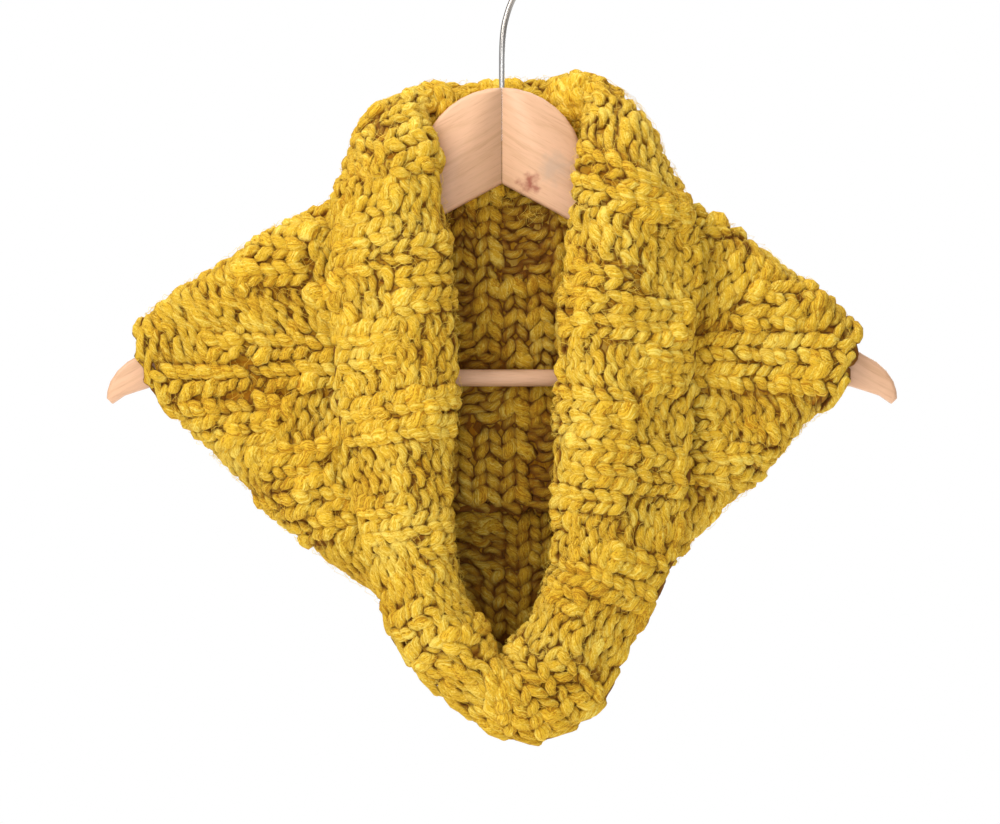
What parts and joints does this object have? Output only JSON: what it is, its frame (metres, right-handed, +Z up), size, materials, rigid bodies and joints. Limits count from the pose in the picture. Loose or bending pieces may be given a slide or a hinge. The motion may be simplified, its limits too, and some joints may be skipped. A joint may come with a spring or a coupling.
{
  "type": "cowl on a clothes hanger",
  "caption": "Chunky hand-knit cowl in mustard wool, hung over a plain wooden clothes hanger with a trouser bar and a bent wire hook.",
  "frame": {"origin": "the point inside the top of the hook where a wardrobe rail bears", "axes": "+Z up along the hook's stem, +X to the viewer's right, the collar's opening to -Y"},
  "size_m": [0.445, 0.0977, 0.4581],
  "materials": {
    "wool": "matt thick-and-thin mustard wool, hand knitted in basket blocks",
    "wood": "pale wood under a thin satin lacquer",
    "chrome": "bright plated wire"
  },
  "bodies": {
    "root": {"cowl_back": "wool", "cowl_left": "wool", "cowl_right": "wool", "cowl_bottom": "wool", "hanger_left": "wood", "hanger_right": "wood", "hanger_bar": "wood", "hook": "chrome"}
  },
  "joints": []
}
